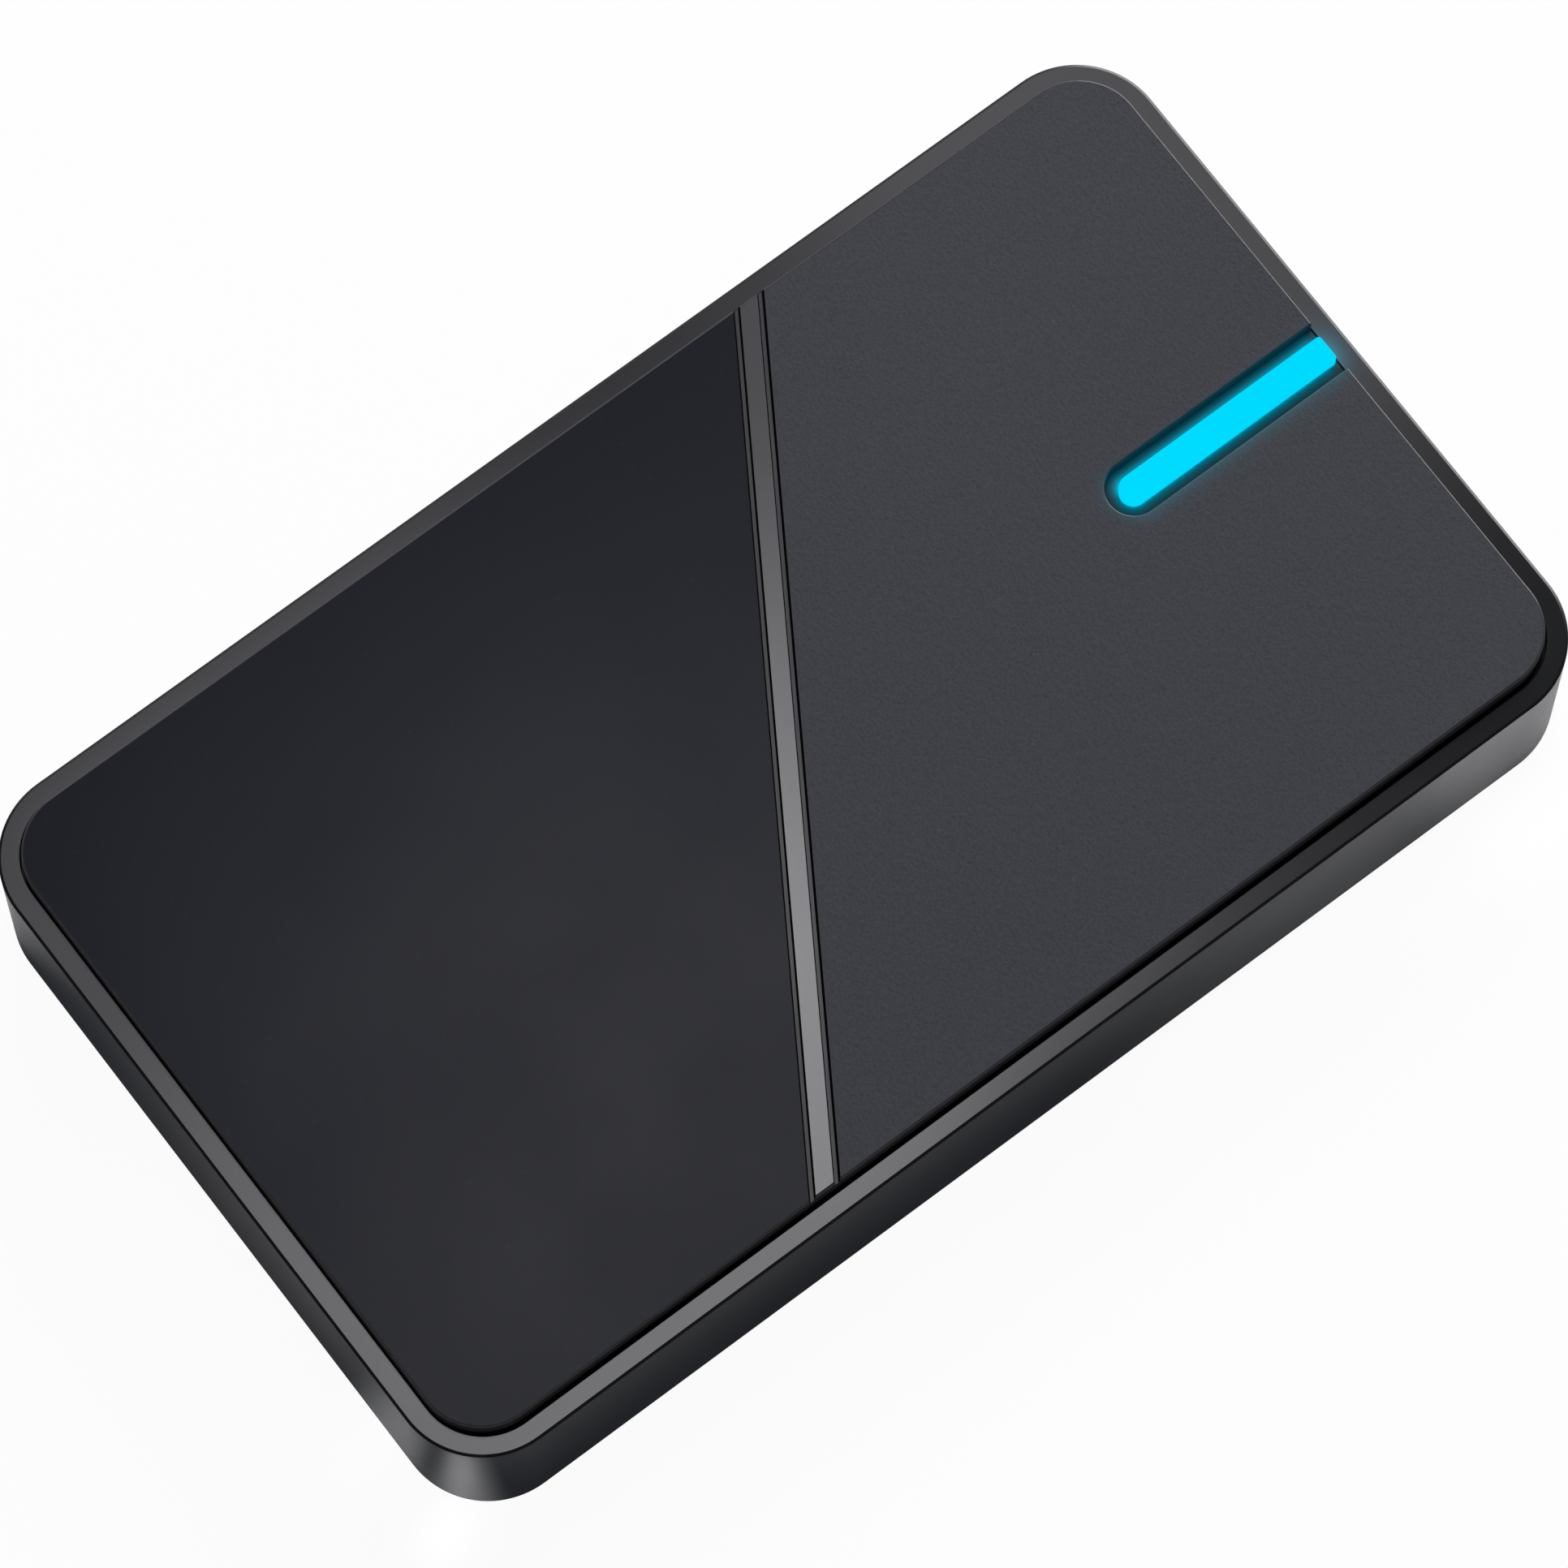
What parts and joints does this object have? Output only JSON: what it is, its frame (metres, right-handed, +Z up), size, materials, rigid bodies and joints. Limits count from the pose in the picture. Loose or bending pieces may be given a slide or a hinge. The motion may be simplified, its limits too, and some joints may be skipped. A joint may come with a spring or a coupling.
{
  "type": "video capture box",
  "caption": "Flat video capture box with a raised top plate parted by a leaning strip, a light bar in a slot, sockets in its back wall and soft feet.",
  "frame": {"origin": "under the middle of the case, on the surface that the feet stand on", "axes": "+X along the length towards the light bar, +Y towards the wall with the sockets, +Z up"},
  "size_m": [0.1126, 0.0662, 0.0182],
  "materials": {
    "case_gloss": "glossy moulded plastic, dark grey",
    "panel_smooth": "smooth satin plastic, near black",
    "panel_grain": "fine leather-like grain, dark grey",
    "light_guide": "lit light guide, cyan",
    "base_plastic": "fine spark-eroded texture, black",
    "foot_rubber": "matte rubber, black",
    "screw_steel": "zinc-plated steel",
    "socket_steel": "nickel-plated sheet",
    "socket_insulator": "moulded insulator, black",
    "contact_gold": "gold-plated",
    "board_laminate": "solder-masked laminate, dark green",
    "chip_epoxy": "moulded epoxy, black",
    "pad_silicone": "soft thermal pad, grey-blue",
    "sink_aluminium": "extruded, anodised",
    "can_metal": "drawn metal cans",
    "inductor_core": "pressed powder core, dark grey",
    "ceramic_body": "fired ceramic, tan",
    "led_body": "white reflector with clear filling"
  },
  "bodies": {
    "root": {"case_frame": "case_gloss", "top_cover": "case_gloss", "left_panel": "panel_smooth", "right_panel": "panel_grain", "accent_strip": "case_gloss", "light_bar": "light_guide", "bottom_cover": "base_plastic", "rubber_feet": "foot_rubber", "case_screws": "screw_steel", "main_board": "board_laminate", "board_screws": "screw_steel", "status_leds": "led_body", "video_in_shell": "socket_steel", "video_in_tongue": "socket_insulator", "video_in_contacts": "contact_gold", "video_out_shell": "socket_steel", "video_out_tongue": "socket_insulator", "video_out_contacts": "contact_gold", "data_shell": "socket_steel", "data_tongue": "socket_insulator", "data_contacts": "contact_gold", "processor": "chip_epoxy", "thermal_pad": "pad_silicone", "heat_sink": "sink_aluminium", "memory_chips": "chip_epoxy", "video_receiver": "chip_epoxy", "video_driver": "chip_epoxy", "data_bridge": "chip_epoxy", "flash_chip": "chip_epoxy", "crystals": "can_metal", "power_inductors": "inductor_core", "bulk_capacitors": "can_metal", "small_capacitors": "ceramic_body", "regulators": "chip_epoxy"}
  },
  "joints": []
}
